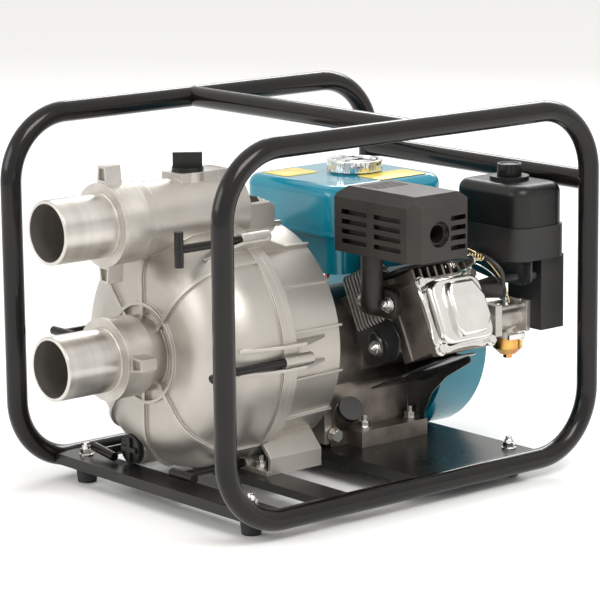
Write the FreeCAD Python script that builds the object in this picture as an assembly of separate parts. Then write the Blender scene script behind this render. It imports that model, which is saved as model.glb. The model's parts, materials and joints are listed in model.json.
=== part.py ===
"""Engine-driven trash pump in a tubular carrying cradle, one STEP file per sub-part.

Everything is drawn about the middle of the cradle, at the height of its bottom tubes: +X towards the
cylinder head, -Y towards the hose ports, +Z up, in millimetres. save() then lifts it onto its rubber feet
and centres its footprint on the origin.
"""

import FreeCAD, Part
import math
import os

os.makedirs("parts", exist_ok=True)
V = FreeCAD.Vector
X, Y, Z = V(1, 0, 0), V(0, 1, 0), V(0, 0, 1)

# Cradle
TUBE_R = 12.7            # 1 inch tube
HOOP_X = 201.0           # hoop planes, either side
HOOP_HALF_LENGTH = 283.5
HOOP_HEIGHT = 424.0
BEND_R = 80.0
CARRY_BAR_Y = -6.5
REAR_BAR_Z = 333.0
RAIL_TOP = 8.8
PLATE_TOP = 11.0
FEET = ((-158.0, -213.6), (158.0, -213.6), (-165.0, 186.0), (165.0, 186.0))
FLOOR_Z = -24.0

# Shaft line and pump
CRANK_X, CRANK_Z = -48.0, 117.0
PUMP_Z = 152.5           # middle of the casing and of the inlet
OUTLET_Z = 312.0
JOINT_Y = -105.0         # where the two casing halves meet
CASING_R = 147.0
FLANGE_R = 150.0
REAR_R = (142.0, 138.0)      # the rear half tapers a little towards the engine
WALL = 6.0
COVER_FACE_Y = -206.0
COVER_CORNER_R = 60.0
REAR_WALL_Y = -19.0
PORT_TIP_Y = -341.0
BARB_R = 38.0            # 3 inch hose
BARB_ROOT_R = 38.6       # inside the nut
NUT_FACE_Y = -271.0
PORT_BORE_R = 34.0
THREAD_R = 43.9
FOOT_FRONT_Y = -113.0
CLAMP_R = 155.0
CLAMP_BAR_Y = -211.0
CLAMP_ROD_R = 5.2        # in front of the boss
CLAMP_STEM_R = 4.5       # through the boss
CLAMP_BAR_LENGTH = 42.0
CLAMP_BOSS_R = 7.5
CLAMP_ANGLES = {"a": 30.0, "b": 90.0, "c": 150.0, "d": 210.0, "e": 270.0}
RIB_ANGLES = (0, 42, 138, 180, 220, 320)
CLAMP_BAR_TURN = {"a": 90.0, "b": -25.0, "c": 0.0, "d": 8.0, "e": 0.0}
BOSS_FINS = ((30.0, 9.5), (90.0, -18.5), (90.0, 9.5))   # clamp angle, and how far to its side

DRAIN_X, DRAIN_Y, DRAIN_Z = -84.0, -196.0, 27.5
DRAIN_HEAD_R = 18.0

# Engine
PLUG_SEAT = V(103.7, 158.8, 198.8)
PLUG_AXIS = V(0.845, 0.53, 0.062).normalize()
LEAD_R = 3.0
LEAD_ROUTE = [            # from inside the boot, over in front of the air cleaner, to the shroud's duct
    V(150.5, 188.4, 203.0), V(156.0, 187.0, 222.0), V(146.0, 180.0, 237.0), V(124.0, 174.0, 246.0),
    V(100.0, 170.0, 246.0), V(84.0, 173.0, 232.0), V(69.2, 177.0, 215.8), V(49.3, 177.0, 206.5),
]
TILT = 25.0              # cylinder leans this far up from level
HEAD_Y = 116.0           # middle of cylinder and head along the shaft
COVER_T = -19.5          # valve cover sits this far below the cylinder line
DECK, HEAD_TOP = 140.0, 200.0
BORE_R = 34.0
STROKE = 45.0
BASE_BOLT_X, BASE_BOLT_Y = 81.0, 37.75
BASE_MID_Y = 105.7
BASE_BOLTS = [(CRANK_X + sx * BASE_BOLT_X, BASE_MID_Y + sy * BASE_BOLT_Y) for sx in (-1, 1) for sy in (-1, 1)]
PUMP_BOLT_X, PUMP_BOLT_Y = 94.5, -105.0
SHROUD_R = 118.0
SHROUD_BOTTOM = 9.5      # the round shroud is flat underneath, clear of the rear rail
TANK = (-152.0, 26.0, 30.0, 212.0, 222.0, 330.0)
CAP = (-60.0, 136.0)
GUARD = (36.0, 177.0, 20.0, 115.0, 258.0, 336.0)
FILTER = (63.0, 181.0, 187.0, 267.0, 240.0, 331.0)
CARB = (130.0, 217.5, 161.0)
CARB_WALL = 232.0        # where the carburettor meets the air cleaner's elbow

# Middle of the footprint: left clamp handle to right hoop, and the barbs' tips to the hoops' backs
FOOTPRINT_X = (CRANK_X - CLAMP_R - CLAMP_BAR_LENGTH / 2 + HOOP_X + TUBE_R) / 2
FOOTPRINT_Y = (PORT_TIP_Y + HOOP_HALF_LENGTH + TUBE_R) / 2


def box(x0, x1, y0, y1, z0, z1):
    return Part.makeBox(x1 - x0, y1 - y0, z1 - z0, V(x0, y0, z0))


def rod(start, axis, radius, length):
    return Part.makeCylinder(radius, length, V(*start), axis)


def ring(start, axis, outer, inner, length):
    return rod(start, axis, outer, length).cut(rod(start, axis, inner, length))


def fuse(*shapes):
    whole = shapes[0].multiFuse(list(shapes[1:])) if len(shapes) > 1 else shapes[0]
    return whole.removeSplitter()


def prism(points, axis, start, end):
    """A flat outline of coordinate pairs, drawn square to the axis and pushed from start to end."""
    place = {
        "x": lambda a, b: V(start, a, b),
        "y": lambda a, b: V(a, start, b),
        "z": lambda a, b: V(a, b, start),
    }[axis]
    face = Part.Face(Part.makePolygon([place(a, b) for a, b in points + points[:1]]))
    return face.extrude({"x": X, "y": Y, "z": Z}[axis] * (end - start))


def turned(edges, centre, axis):
    """A closed profile of edges, turned once about an axis."""
    return Part.Face(Part.Wire(edges)).revolve(centre, axis, 360)


def rounded(shape, radius, keep):
    """Rounds the edges that keep() accepts."""
    edges = [e for e in shape.Edges if keep(e)]
    return shape.makeFillet(radius, edges)


def upright(edge):
    t = edge.Vertexes[0].Point - edge.Vertexes[-1].Point
    return abs(t.z) > 0.9 * t.Length


def soft_box(x0, x1, y0, y1, z0, z1, corner, top):
    """A box with rounded uprights and a rounded rim on top."""
    body = rounded(box(x0, x1, y0, y1, z0, z1), corner, upright)
    return rounded(body, top, lambda e: e.BoundBox.ZMin > z1 - 0.01)


def around(angle, radius):
    """A point on a circle about the pump's middle, the angle clockwise from the top, seen from the front."""
    a = math.radians(angle)
    return CRANK_X + radius * math.sin(a), PUMP_Z + radius * math.cos(a)


def hexagon(start, axis, across, length):
    """A hexagonal head or nut."""
    side = across / math.sqrt(3)
    turns = [math.radians(60 * k) for k in range(6)]
    pts = [V(side * math.cos(a), side * math.sin(a), 0) for a in turns]
    solid = Part.Face(Part.makePolygon(pts + pts[:1])).extrude(Z * length)
    solid.Placement = FreeCAD.Placement(V(*start), FreeCAD.Rotation(Z, axis))
    return solid


def leaned(shape):
    """Turns a shape drawn with the cylinder lying level up to the cylinder's real lean."""
    turned_shape = shape.copy()
    turned_shape.rotate(V(CRANK_X, 0, CRANK_Z), Y, -TILT)
    return turned_shape


def level(d, t=0.0):
    """A place on the level cylinder: d out from the crank, t above the cylinder line."""
    return CRANK_X + d, CRANK_Z + t


def tube(route, radius):
    """A round cord along straight runs joined by the largest tangent arcs that the runs allow."""
    edges, here, radii = [], route[0], []
    for before, corner, after in zip(route, route[1:], route[2:]):
        run_in, run_out = corner - before, after - corner
        half_turn = run_in.getAngle(run_out) / 2
        reach = 0.45 * min(run_in.Length, run_out.Length)
        radii.append(reach / math.tan(half_turn))
        u, w = run_in.normalize(), run_out.normalize()
        start, end = corner - u * reach, corner + w * reach
        inward = (w - u).normalize()
        middle = corner + inward * (radii[-1] * (1 / math.cos(half_turn) - 1))
        edges.append(Part.LineSegment(here, start).toShape())
        edges.append(Part.Arc(start, middle, end).toShape())
        here = end
    edges.append(Part.LineSegment(here, route[-1]).toShape())
    path = Part.Wire(edges)
    ring_wire = Part.Wire(Part.makeCircle(radius, route[0], route[1] - route[0]))
    solid = path.makePipeShell([ring_wire], True, False)
    print(f"cord radii {[round(r, 1) for r in radii]} length {path.Length:.1f} mm")
    swept = math.pi * radius ** 2 * path.Length
    print(f"cord volume over section times length {solid.Volume / swept:.4f}")
    return solid


def save(name, shape):
    solids = shape.Solids
    whole = solids[0] if len(solids) == 1 else Part.makeCompound(solids)
    whole = whole.copy()
    whole.translate(V(-FOOTPRINT_X, -FOOTPRINT_Y, -FLOOR_Z))
    whole.exportStep(f"parts/{name}.step")
    closed = all(s.isValid() and s.isClosed() for s in whole.Solids)
    state = "ok" if closed else "OPEN"
    print(f"{name:22s} solids {len(whole.Solids)} volume {whole.Volume / 1000:9.1f} cm3 {state}")


# ---------------------------------------------------------------- cradle

def bent_quarter(x, y, z, start_angle):
    """A quarter bend of the tube, in a plane square to X, about (y, z)."""
    a = math.radians(start_angle)
    centre = V(x, y + BEND_R * math.cos(a), z + BEND_R * math.sin(a))
    across = V(0, -math.sin(a), math.cos(a))
    disc = Part.Face(Part.Wire(Part.makeCircle(TUBE_R, centre, across)))
    return disc.revolve(V(x, y, z), X, 90)


def hoop(x):
    ly, lz = HOOP_HALF_LENGTH, HOOP_HEIGHT
    parts = [
        rod((x, -ly + BEND_R, 0), Y, TUBE_R, 2 * (ly - BEND_R)),
        rod((x, -ly + BEND_R, lz), Y, TUBE_R, 2 * (ly - BEND_R)),
        rod((x, -ly, BEND_R), Z, TUBE_R, lz - 2 * BEND_R),
        rod((x, ly, BEND_R), Z, TUBE_R, lz - 2 * BEND_R),
        bent_quarter(x, ly - BEND_R, lz - BEND_R, 0),
        bent_quarter(x, -ly + BEND_R, lz - BEND_R, 90),
        bent_quarter(x, -ly + BEND_R, BEND_R, 180),
        bent_quarter(x, ly - BEND_R, BEND_R, 270),
    ]
    return fuse(*parts)


def between_hoops(shape, hoops):
    """Copes a cross member to the two hoops and keeps the piece between them."""
    pieces = shape.cut(hoops[0]).cut(hoops[1]).Solids
    return max(pieces, key=lambda s: s.Volume)


def channel(y0, y1, top, lip, sheet, half):
    """A sheet folded down at both long edges."""
    return box(-half, half, y0, y1, top - lip, top).cut(
        box(-half - 1, half + 1, y0 + sheet, y1 - sheet, top - lip - 1, top - sheet)
    )


def cradle():
    hoops = [hoop(-HOOP_X), hoop(HOOP_X)]
    save("left_hoop", hoops[0])
    save("right_hoop", hoops[1])
    carry_bar = rod((-HOOP_X, CARRY_BAR_Y, HOOP_HEIGHT), X, TUBE_R, 2 * HOOP_X)
    rear_bar = rod((-HOOP_X, HOOP_HALF_LENGTH, REAR_BAR_Z), X, TUBE_R, 2 * HOOP_X)
    save("carry_bar", between_hoops(carry_bar, hoops))
    save("rear_bar", between_hoops(rear_bar, hoops))
    foot_holes = [rod((x, y, -30), Z, 4.2, 60) for x, y in FEET]
    front = channel(-237, -197, RAIL_TOP, 13, 3, HOOP_X)
    rear = channel(166, 206, RAIL_TOP, 13, 3, HOOP_X)
    for hole in foot_holes:
        front, rear = front.cut(hole), rear.cut(hole)
    save("front_rail", between_hoops(front, hoops))
    save("rear_rail", between_hoops(rear, hoops))
    pump_rail = channel(-136, -95, RAIL_TOP, 10, 3, HOOP_X)
    for side in (-1, 1):
        pump_rail = pump_rail.cut(rod((CRANK_X + side * PUMP_BOLT_X, PUMP_BOLT_Y, -10), Z, 4.2, 40))
    save("pump_rail", between_hoops(pump_rail, hoops))
    plate = channel(7, 160, PLATE_TOP, 13, 4, HOOP_X)
    for x, y in BASE_BOLTS:
        plate = plate.cut(rod((x, y, -10), Z, 4.2, 40))
    save("engine_plate", between_hoops(plate, hoops))

    pads, nuts = [], []
    for x, y in FEET:
        pad = Part.makeCone(11.5, 13.2, 17, V(x, y, FLOOR_Z), Z)
        pad = pad.fuse(rod((x, y, FLOOR_Z + 17), Z, 13.2, 12.8))
        pad = pad.cut(rod((x, y, FLOOR_Z + 6), Z, 4.0, 40))
        pads.append(pad.removeSplitter())
        nut = fuse(
            rod((x, y, FLOOR_Z + 8), Z, 3.9, 40),
            rod((x, y, RAIL_TOP), Z, 9.0, 1.6),
            hexagon((x, y, RAIL_TOP + 1.6), Z, 13, 6.5),
            Part.makeSphere(5.8, V(x, y, RAIL_TOP + 8.1), Z, 0, 90, 360),
        )
        nuts.append(nut)
    save("rubber_feet", Part.makeCompound(pads))
    save("foot_cap_nuts", Part.makeCompound(nuts))


# ---------------------------------------------------------------- pump

def dome(grow=0.0, open_end=0.0):
    """The domed front half as a solid of revolution; grow moves its skin out, or in when negative."""
    r_out = CASING_R + grow
    corner = COVER_CORNER_R + grow
    ya = COVER_FACE_Y + COVER_CORNER_R
    rc = CASING_R - COVER_CORNER_R
    c, s = math.cos(math.pi / 4), math.sin(math.pi / 4)
    at = lambda r, y: V(CRANK_X + r, y, PUMP_Z)
    edges = [
        Part.LineSegment(at(0, JOINT_Y + open_end), at(r_out, JOINT_Y + open_end)).toShape(),
        Part.LineSegment(at(r_out, JOINT_Y + open_end), at(r_out, ya)).toShape(),
        Part.Arc(at(r_out, ya), at(rc + corner * c, ya - corner * s), at(rc, ya - corner)).toShape(),
        Part.LineSegment(at(rc, ya - corner), at(0, ya - corner)).toShape(),
        Part.LineSegment(at(0, ya - corner), at(0, JOINT_Y + open_end)).toShape(),
    ]
    return turned(edges, V(CRANK_X, 0, PUMP_Z), Y)


def radial_slab(angle, width, y0, y1, r0, r1):
    slab = box(CRANK_X - width / 2, CRANK_X + width / 2, y0, y1, PUMP_Z + r0, PUMP_Z + r1)
    slab.rotate(V(CRANK_X, 0, PUMP_Z), Y, angle)
    return slab


def clamp_bosses(y0, y1, radius):
    places = [around(a, CLAMP_R) for a in CLAMP_ANGLES.values()]
    return [rod((x, y0, z), Y, radius, y1 - y0) for x, z in places]


def boss_fins(y0, y1):
    """Tapered plates cast beside some clamp bosses, those between y0 and y1."""
    plan = [(-176, 144), (-122, 159), (-88, 159), (-44, 139), (-44, 133), (-176, 141.5)]
    between = box(-300, 300, y0, y1, -100, 400)
    fins = []
    for angle, side in BOSS_FINS:
        corners = [V(CRANK_X + side - 2, y, PUMP_Z + r) for y, r in plan + plan[:1]]
        fin = Part.Face(Part.makePolygon(corners)).extrude(X * 4)
        fin.rotate(V(CRANK_X, 0, PUMP_Z), Y, angle)
        fins.append(fin.common(between))
    return fins


def under_rail():
    """Everything lower than the pump rail's top, where the round castings are left flat to sit on it."""
    return box(-300, 300, -300, 0, -60, RAIL_TOP)


def front_casing():
    grown = dome(4.0)
    skin = dome()
    ribs = [grown.common(radial_slab(a, 5.0, -215, -115, 58, 150)) for a in RIB_ANGLES]
    body = fuse(
        skin,
        *ribs,
        rod((CRANK_X, JOINT_Y - 10, PUMP_Z), Y, FLANGE_R, 10),
        ring((CRANK_X, COVER_FACE_Y - 4, PUMP_Z), Y, 61, 57, 6),
        rod((CRANK_X, -226, PUMP_Z), Y, 45.5, 32),
        rod((CRANK_X, -236, PUMP_Z), Y, THREAD_R, 12),
        rod((CRANK_X, -215, OUTLET_Z), Y, 44, 110),
        rod((CRANK_X, -226, OUTLET_Z), Y, 46.5, 13),
        rod((CRANK_X, -236, OUTLET_Z), Y, THREAD_R, 12),
        box(CRANK_X - 7, CRANK_X + 7, -190, JOINT_Y, 240, 300),
        box(CRANK_X - 19, CRANK_X + 19, -160, JOINT_Y, 330, 362),
        rod((CRANK_X, -136, 330), Z, 21, 32),
        rod((DRAIN_X, DRAIN_Y, DRAIN_Z), Y, 20.5, 70),
        *clamp_bosses(JOINT_Y - 16, JOINT_Y, CLAMP_BOSS_R),
        *boss_fins(-200, JOINT_Y),
    )
    pocket = ring((CRANK_X, COVER_FACE_Y - 6, PUMP_Z), Y, 57, 46, 9)
    spokes = [radial_slab(a, 5.0, COVER_FACE_Y - 3, COVER_FACE_Y + 4, 44, 60) for a in RIB_ANGLES]
    body = body.cut(pocket).multiFuse(spokes)
    body = body.cut(dome(-WALL, 1.0))
    body = body.cut(rod((CRANK_X, -240, PUMP_Z), Y, PORT_BORE_R, 60))
    body = body.cut(rod((CRANK_X, -240, OUTLET_Z), Y, PORT_BORE_R + 3, 140))
    body = body.cut(rod((CRANK_X, -136, 340), Z, 14.05, 40))
    body = body.cut(rod((DRAIN_X, DRAIN_Y - 30, DRAIN_Z), Y, DRAIN_HEAD_R + 1, 30))
    body = body.cut(rod((DRAIN_X, DRAIN_Y - 1, DRAIN_Z), Y, 12.05, 45))
    for hole in clamp_bosses(JOINT_Y - 20, JOINT_Y + 1, CLAMP_STEM_R + 0.05):
        body = body.cut(hole)
    return body.cut(under_rail()).removeSplitter()


def pump_foot(side):
    """A cast foot, open at its front, under one side of the rear casing."""
    m = lambda x: CRANK_X + side * (x - CRANK_X)
    outer = [(m(17), RAIL_TOP), (m(72), RAIL_TOP), (m(72), 30), (m(38), 66), (m(17), 50)]
    inner = [(m(10), RAIL_TOP + 5), (m(67), RAIL_TOP + 5), (m(67), 28), (m(35), 61), (m(10), 44)]
    shell = prism(outer, "y", FOOT_FRONT_Y, -35).cut(prism(inner, "y", FOOT_FRONT_Y - 1, -40))
    depth = JOINT_Y - FOOT_FRONT_Y + 1
    shell = shell.cut(rod((CRANK_X, FOOT_FRONT_Y - 1, PUMP_Z), Y, FLANGE_R + 0.4, depth))
    tongue = box(min(m(17), m(71)), max(m(17), m(71)), -118, JOINT_Y, RAIL_TOP, RAIL_TOP + 5)
    hole = rod((m(CRANK_X + PUMP_BOLT_X), PUMP_BOLT_Y, RAIL_TOP - 5), Z, 4.2, 20)
    return shell.fuse(tongue).cut(hole)


def rear_casing():
    r0, r1 = REAR_R
    length = REAR_WALL_Y - JOINT_Y
    middle = V(CRANK_X, JOINT_Y, PUMP_Z)
    reach = Part.makeCone(r0 + 4, r1 + 4, length + 2, middle, Y)
    slabs = [radial_slab(11 + 22.5 * k, 3.0, JOINT_Y + 8, REAR_WALL_Y + 2, 128, 150) for k in range(16)]
    ribs = [slab.common(reach) for slab in slabs]
    x0 = CRANK_X
    block = prism(
        [(x0 - 38, 262), (x0 + 38, 262), (x0 + 38, 318), (x0 + 24, 334), (x0 - 24, 334), (x0 - 38, 318)],
        "y", JOINT_Y, -35,
    )
    slope = prism([(-76, 336), (-30, 336), (-30, 312)], "x", x0 - 60, x0 + 60)
    body = fuse(
        Part.makeCone(r0, r1, length, middle, Y),
        rod((CRANK_X, JOINT_Y, PUMP_Z), Y, FLANGE_R, 10),
        *ribs,
        block.cut(slope),
        rod((CRANK_X, JOINT_Y, OUTLET_Z), Y, 44, 30),
        box(CRANK_X - 19, CRANK_X + 19, JOINT_Y, -88, 330, 362),
        pump_foot(1),
        pump_foot(-1),
        *clamp_bosses(JOINT_Y, -79, CLAMP_BOSS_R),
        *boss_fins(JOINT_Y, 0),
        ring((CRANK_X, REAR_WALL_Y, CRANK_Z), Y, 72, 40, 27),
    )
    body = body.cut(Part.makeCone(r0 - WALL, r1 - WALL, length - 7, middle - Y, Y))
    body = body.cut(rod((CRANK_X, JOINT_Y - 1, OUTLET_Z), Y, PORT_BORE_R + 3, 50))
    body = body.cut(box(CRANK_X - 30, CRANK_X + 30, JOINT_Y - 1, -41, 262, 306))
    body = body.cut(rod((CRANK_X, -40, CRANK_Z), Y, 28, 40))
    for hole in clamp_bosses(JOINT_Y - 14, -84, CLAMP_STEM_R + 0.05):
        body = body.cut(hole)
    return body.cut(under_rail()).removeSplitter()


def volute():
    """The spiral bowl round the impeller, its front open at the eye."""
    y0, y1 = -96.0, REAR_WALL_Y - 8.0
    solid = fuse(
        rod((CRANK_X, y0, CRANK_Z), Y, 82, y1 - y0),
        box(CRANK_X + 20, CRANK_X + 82, y0, y1, CRANK_Z, CRANK_Z + 92),
    )
    cavity = fuse(
        rod((CRANK_X, y0 + 6, CRANK_Z), Y, 76, y1 - y0 - 10),
        box(CRANK_X + 28, CRANK_X + 76, y0 + 6, y1 - 4, CRANK_Z, CRANK_Z + 100),
    )
    return solid.cut(cavity).cut(rod((CRANK_X, y0 - 1, CRANK_Z), Y, 32, 20)).cut(
        rod((CRANK_X, y1 - 10, CRANK_Z), Y, 28, 20)
    )


def impeller():
    disc = rod((CRANK_X, -47, CRANK_Z), Y, 70, 6)
    hub = rod((CRANK_X, -78, CRANK_Z), Y, 17, 37)
    vanes = []
    for k in range(4):
        sweep = ring((CRANK_X + 40, -76, CRANK_Z), Y, 42, 37, 30).common(
            box(CRANK_X - 5, CRANK_X + 66, -76, -46, CRANK_Z, CRANK_Z + 60)
        )
        sweep.rotate(V(CRANK_X, 0, CRANK_Z), Y, 90 * k)
        vanes.append(sweep.common(rod((CRANK_X, -76, CRANK_Z), Y, 70, 30)))
    return fuse(disc, hub, *vanes).cut(rod((CRANK_X, -70, CRANK_Z), Y, 9.0, 60))


def nut_lug(z, side):
    """A tapered lug for a spanner or a mallet, hollowed from the front."""
    outer = [(CRANK_X - 10, z + side * 44), (CRANK_X + 10, z + side * 44),
             (CRANK_X + 7, z + side * 69), (CRANK_X - 7, z + side * 69)]
    pocket = [(CRANK_X - 6.5, z + side * 52), (CRANK_X + 6.5, z + side * 52),
              (CRANK_X + 4.5, z + side * 66), (CRANK_X - 4.5, z + side * 66)]
    return prism(outer, "y", -262, -240).cut(prism(pocket, "y", -263, -256))


def union_nut(z, turn):
    """A two-lug coupling nut that pulls a hose barb onto a port."""
    nut = fuse(
        rod((CRANK_X, -265, z), Y, 49.5, 6),
        rod((CRANK_X, -260, z), Y, 48, 33.8),
        *[nut_lug(z, side) for side in (-1, 1)],
    )
    nut = nut.cut(rod((CRANK_X, -259, z), Y, 43.97, 40))
    nut = nut.cut(rod((CRANK_X, NUT_FACE_Y, z), Y, BARB_ROOT_R + 0.05, 20)).removeSplitter()
    nut.rotate(V(CRANK_X, 0, z), Y, turn)
    return nut


def hose_barb(z):
    barb = fuse(
        rod((CRANK_X, PORT_TIP_Y, z), Y, BARB_R, 80),
        rod((CRANK_X, NUT_FACE_Y + 4, z), Y, BARB_ROOT_R, -236 - NUT_FACE_Y - 4),
        rod((CRANK_X, -246, z), Y, 43.4, 10),
    )
    barb = barb.makeChamfer(1.2, [e for e in barb.Edges if e.BoundBox.YMax < PORT_TIP_Y + 0.01])
    return barb.cut(rod((CRANK_X, PORT_TIP_Y - 1, z), Y, PORT_BORE_R, 120))


def clamp_bolt(letter):
    angle = CLAMP_ANGLES[letter]
    x, z = around(angle, CLAMP_R)
    bar = rod((x - CLAMP_BAR_LENGTH / 2, CLAMP_BAR_Y, z), X, 5.5, CLAMP_BAR_LENGTH)
    bar.rotate(V(x, 0, z), Y, CLAMP_BAR_TURN[letter])
    long_rod = rod((x, CLAMP_BAR_Y, z), Y, CLAMP_ROD_R, JOINT_Y - 17 - CLAMP_BAR_Y)
    return fuse(long_rod, rod((x, CLAMP_BAR_Y, z), Y, CLAMP_STEM_R, -84 - CLAMP_BAR_Y), bar)


def pump():
    front, rear = front_casing(), rear_casing()
    save("front_casing", front.cut(rear))
    save("rear_casing", rear)
    save("volute", volute())
    save("impeller", impeller())
    save("shaft_seal", ring((CRANK_X, -38, CRANK_Z), Y, 27.9, 12.6, 26))
    flap = fuse(
        rod((CRANK_X, -199.7, PUMP_Z), Y, 40, 5),
        box(CRANK_X - 12, CRANK_X + 12, -199.7, -194.7, PUMP_Z + 30, PUMP_Z + 50),
        rod((CRANK_X - 14, -197.2, PUMP_Z + 50), X, 2.4, 28),
    )
    save("check_valve_flap", flap)
    save("inlet_nut", union_nut(PUMP_Z, 88))
    save("outlet_nut", union_nut(OUTLET_Z, 0))
    save("hose_barbs", Part.makeCompound([hose_barb(PUMP_Z), hose_barb(OUTLET_Z)]))
    wing = box(-17.5, 17.5, -3, 3, 366, 384)
    wing.rotate(V(0, 0, 0), Z, 50)
    wing.translate(V(CRANK_X, -136, 0))
    stem, head = rod((CRANK_X, -136, 345), Z, 14, 17), rod((CRANK_X, -136, 362), Z, 19, 5)
    save("priming_plug", fuse(stem, head, wing))
    drain = fuse(
        rod((DRAIN_X, DRAIN_Y - 7, DRAIN_Z), Y, DRAIN_HEAD_R, 6.7),
        rod((DRAIN_X, DRAIN_Y - 1, DRAIN_Z), Y, 12, 12),
        box(DRAIN_X - 14, DRAIN_X + 14, DRAIN_Y - 10, DRAIN_Y - 6, DRAIN_Z - 3, DRAIN_Z + 3),
        box(DRAIN_X - 3, DRAIN_X + 3, DRAIN_Y - 10, DRAIN_Y - 6, DRAIN_Z - 14, DRAIN_Z + 14),
    )
    save("drain_plug", drain)
    for letter in CLAMP_ANGLES:
        save(f"clamp_bolt_{letter}", clamp_bolt(letter))


def mounting_bolts():
    """The M8 bolts that hold the pump's two feet and the engine's base, each with its washer and nut."""
    places = [(CRANK_X + s * PUMP_BOLT_X, PUMP_BOLT_Y, RAIL_TOP - 3, RAIL_TOP + 5) for s in (-1, 1)]
    places += [(x, y, PLATE_TOP - 4, PLATE_TOP + 20) for x, y in BASE_BOLTS]
    bolts = []
    for x, y, below, above in places:
        bolts.append(
            fuse(
                hexagon((x, y, below - 5.3), Z, 13, 5.3),
                rod((x, y, below - 1), Z, 3.9, above - below + 16),
                rod((x, y, above), Z, 8.4, 1.6),
                hexagon((x, y, above + 1.6), Z, 13, 6.5),
            )
        )
    save("mounting_bolts", Part.makeCompound(bolts))


# ---------------------------------------------------------------- engine

def oil_bosses():
    """The oil filler's tube and the drain's boss, low on the front corner of the crankcase."""
    drain_boss = rod((CRANK_X + 76, 24, 27), V(-1, 0, 0), 10, 20)
    return rod((CRANK_X + 84, 40, 56), V(-0.7, 0.2, -0.5), 15, 50).fuse(drain_boss)


def crankcase():
    body = fuse(
        box(CRANK_X - 100, CRANK_X + 100, 48, 155, PLATE_TOP, PLATE_TOP + 20),
        rod((CRANK_X, 22, CRANK_Z), Y, 76, 140),
        box(CRANK_X - 70, CRANK_X + 70, 24, 158, PLATE_TOP, CRANK_Z),
        leaned(box(CRANK_X + 30, CRANK_X + 85, HEAD_Y - 46, HEAD_Y + 46, CRANK_Z - 46, CRANK_Z + 46)),
        oil_bosses(),
    )
    body = body.cut(rod((CRANK_X, 21, CRANK_Z), Y, 68, 133))
    body = body.cut(box(CRANK_X - 62, CRANK_X + 62, 21, 152, PLATE_TOP + 12, CRANK_Z))
    body = body.cut(leaned(rod((CRANK_X + 20, HEAD_Y, CRANK_Z), X, 41, 70)))
    body = body.cut(rod((CRANK_X, 150, CRANK_Z), Y, 12.6, 20))
    body = body.cut(rod((CRANK_X + 84.5, 39.8, 56.4), V(-0.7, 0.2, -0.5), 10.1, 22))
    for x, y in BASE_BOLTS:
        body = body.cut(rod((x, y, 0), Z, 4.2, 40))
    return body.removeSplitter()


def crankcase_cover():
    cover = fuse(
        rod((CRANK_X, 8, CRANK_Z), Y, 80, 14),
        box(CRANK_X - 74, CRANK_X + 74, 10, 22, PLATE_TOP + 6, CRANK_Z),
    )
    return cover.cut(rod((CRANK_X, 0, CRANK_Z), Y, 12.6, 40)).cut(oil_bosses()).removeSplitter()


def finned(d0, d1, half_y, low, high, pitch, sheet):
    """A stack of cooling fins square to the cylinder line."""
    count = int((d1 - d0) / pitch)
    fins = []
    for k in range(count):
        x = CRANK_X + d0 + pitch * k
        fin = box(x, x + sheet, HEAD_Y - half_y, HEAD_Y + half_y, CRANK_Z + low, CRANK_Z + high)
        fins.append(rounded(fin, 12, lambda e: abs(e.BoundBox.XLength - sheet) < 0.01))
    return fins


def cylinder():
    core = rod((CRANK_X + 55, HEAD_Y, CRANK_Z), X, 40.9, DECK - 55)
    fins = finned(88, DECK, 46, -46, 46, 7.4, 2.4)
    deck = box(CRANK_X + DECK - 6, CRANK_X + DECK, HEAD_Y - 46, HEAD_Y + 46, CRANK_Z - 46, CRANK_Z + 46)
    body = fuse(core, *fins, deck).cut(rod((CRANK_X + 40, HEAD_Y, CRANK_Z), X, BORE_R, 100))
    return leaned(body)


def cylinder_head():
    low, high = COVER_T - 47, COVER_T + 62
    deck, top = CRANK_X + DECK, CRANK_X + HEAD_TOP
    block = fuse(
        box(deck, deck + 14, HEAD_Y - 45, HEAD_Y + 45, CRANK_Z + low + 6, CRANK_Z + high),
        box(deck, top, HEAD_Y - 43, HEAD_Y + 43, CRANK_Z + low + 6, CRANK_Z + 26),
        box(top - 8, top, HEAD_Y - 45, HEAD_Y + 45, CRANK_Z + low, CRANK_Z + 28),
    )
    starts = [HEAD_Y - 36 + 12 * k for k in range(7)]
    fins = [box(deck + 2, top - 10, y, y + 3, CRANK_Z + 24, CRANK_Z + high) for y in starts]
    ports = [
        rod((CRANK_X + 150, HEAD_Y - 54, CRANK_Z + 18), Y, 17, 20),
        rod((CRANK_X + 180, HEAD_Y + 36, CRANK_Z - 35.3), Y, 14, 8),
    ]
    beyond_deck = box(CRANK_X + DECK, CRANK_X + 300, 0, 300, 0, 300)
    head = fuse(block, *fins, *[port.common(beyond_deck) for port in ports])
    return leaned(head).cut(Part.makeCylinder(6.5, 40, PLUG_SEAT - PLUG_AXIS * 20, PLUG_AXIS))


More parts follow.
